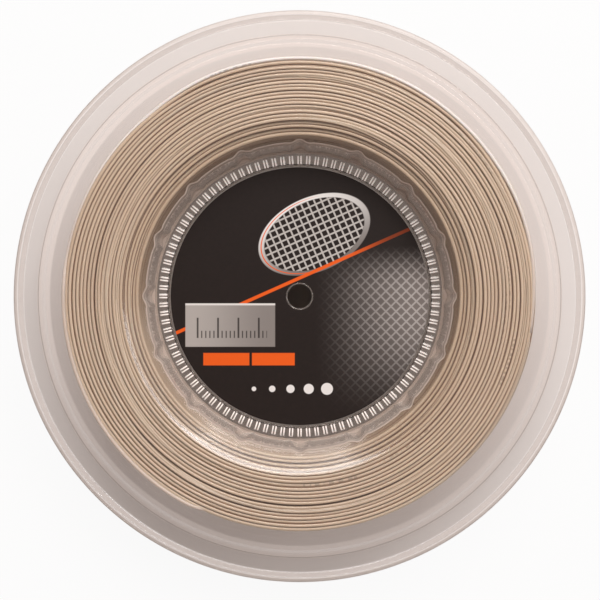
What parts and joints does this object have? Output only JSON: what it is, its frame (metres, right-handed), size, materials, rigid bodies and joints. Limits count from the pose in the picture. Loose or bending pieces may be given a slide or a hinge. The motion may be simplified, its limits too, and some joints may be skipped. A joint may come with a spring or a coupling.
{
  "type": "string reel",
  "caption": "Clear plastic reel with two raised-lip flanges, a fluted hub well with a printed card, and a full winding of racket string.",
  "frame": {"origin": "centre of the plane that the rear flange's lip rests on, on the reel's axis", "axes": "+Z along the reel's axis from the rear flange to the front flange with the card; +X through one of the hub's flutes"},
  "size_m": [0.168, 0.168, 0.046],
  "materials": {
    "clear_plastic": "clear, glossy, injection moulded",
    "racket_string": "translucent satin monofilament",
    "printed_card": "printed, semi-gloss"
  },
  "bodies": {
    "root": {"front_half": "clear_plastic", "rear_half": "clear_plastic", "label_ring": "clear_plastic", "label": "printed_card", "string_pack": "racket_string", "outer_winding": "racket_string"}
  },
  "joints": []
}
